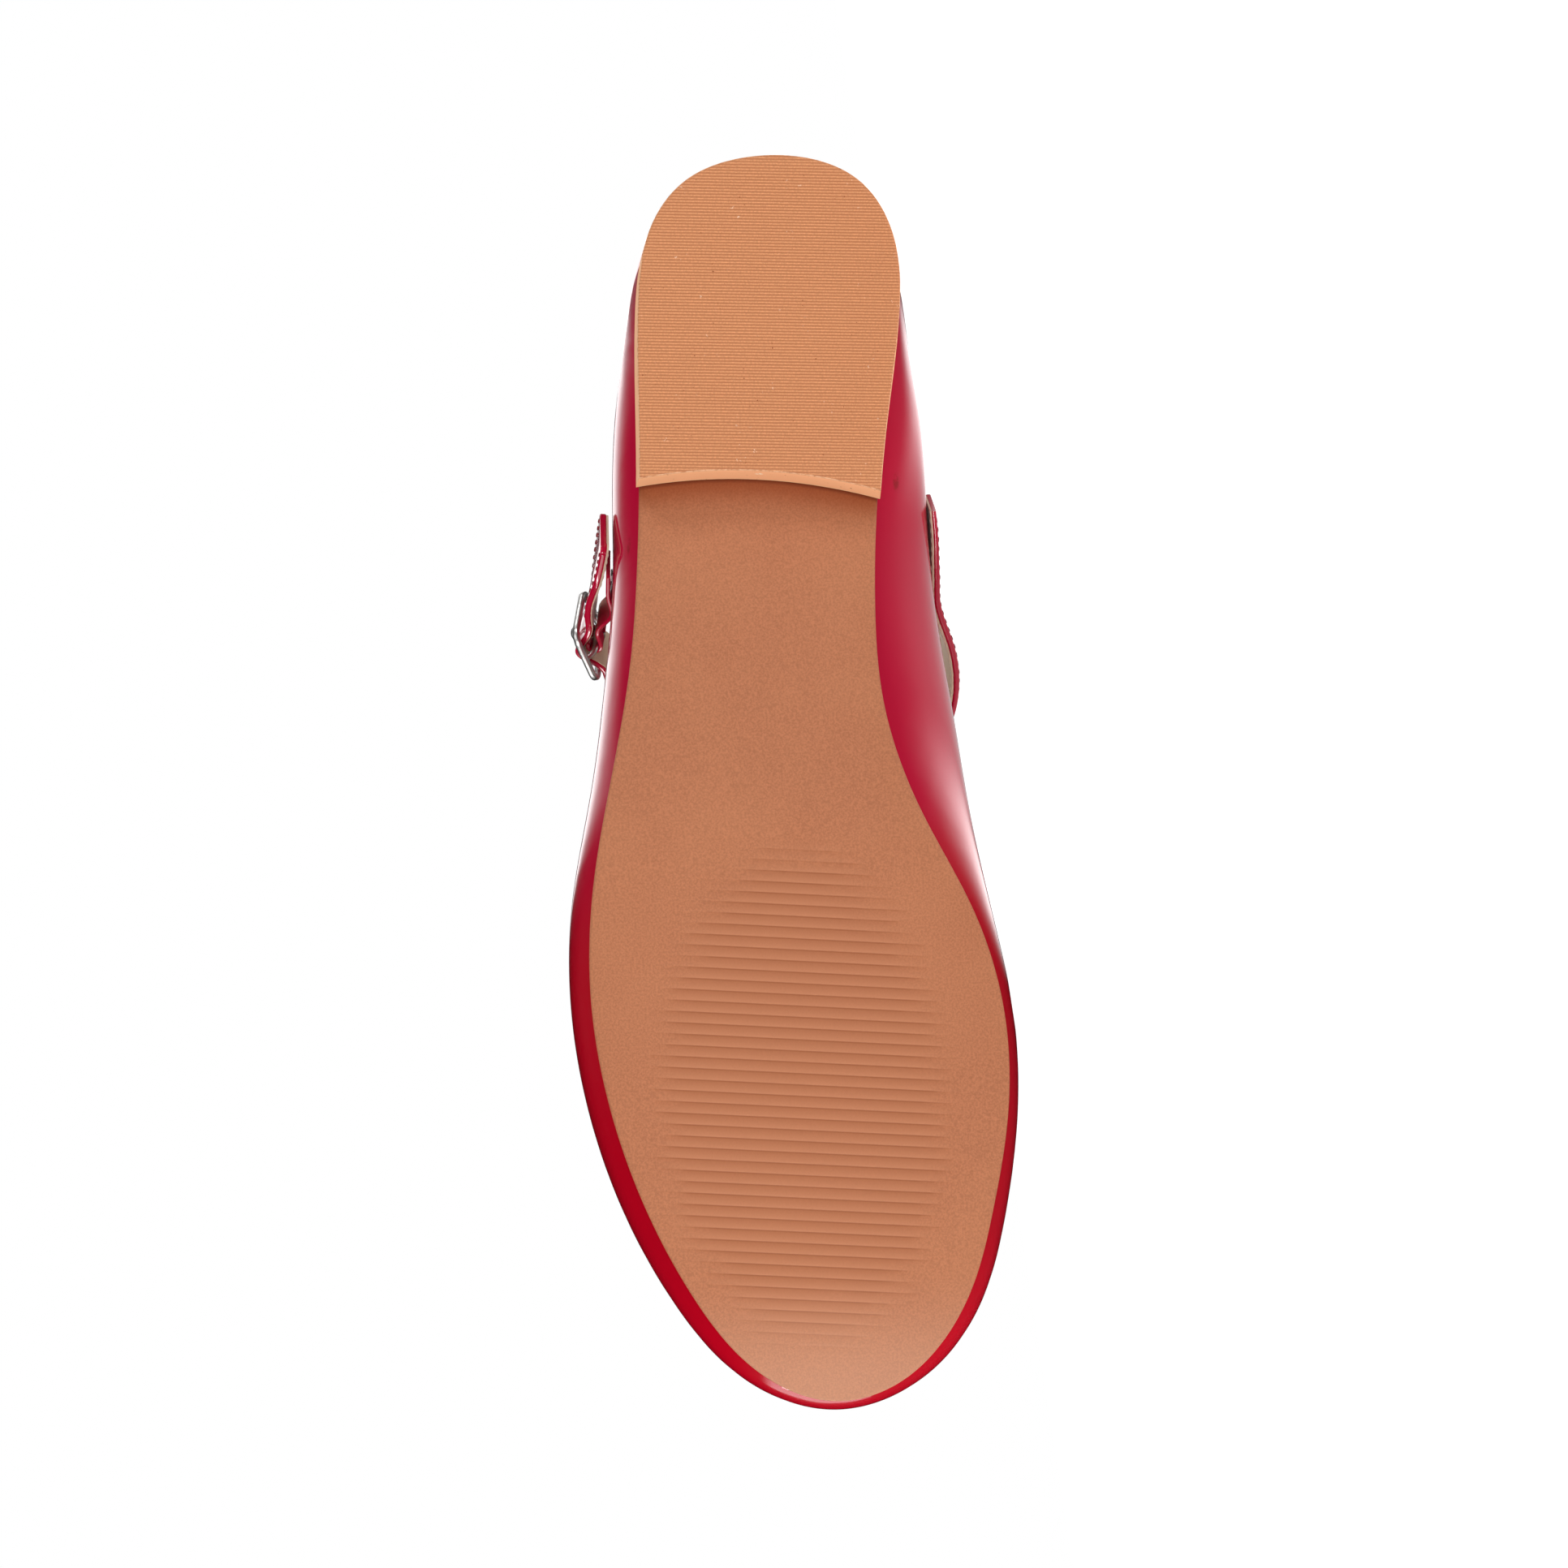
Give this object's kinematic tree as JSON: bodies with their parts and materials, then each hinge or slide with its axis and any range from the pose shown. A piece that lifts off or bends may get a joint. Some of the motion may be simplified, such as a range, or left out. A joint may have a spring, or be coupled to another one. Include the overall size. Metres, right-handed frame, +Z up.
{
  "type": "ballet flat",
  "caption": "Left ballet flat in red patent with a tan ribbed sole, a low heel and a buckled instep strap.",
  "frame": {"origin": "the centre of the bottom of the lying shoe's bounding box, on the floor", "axes": "the shoe lies on its medial side: +Z up from the floor, -X towards the toe, -Y out of the sole's tread"},
  "size_m": [0.2544, 0.0778, 0.0865],
  "materials": {
    "outsole": "matte, fine grain, ribbed under the ball of the foot",
    "heel": "matte, finely ribbed tread",
    "upper": "high-gloss patent",
    "insole": "smooth matte lining",
    "strap": "high-gloss patent, suede-like underside",
    "buckle_tab": "high-gloss patent",
    "buckle_frame": "polished nickel",
    "buckle_prong": "polished nickel"
  },
  "bodies": {
    "root": {"outsole": "outsole", "heel": "heel", "upper": "upper", "insole": "insole", "strap": "strap", "buckle_tab": "buckle_tab", "buckle_frame": "buckle_frame", "buckle_prong": "buckle_prong"}
  },
  "joints": []
}
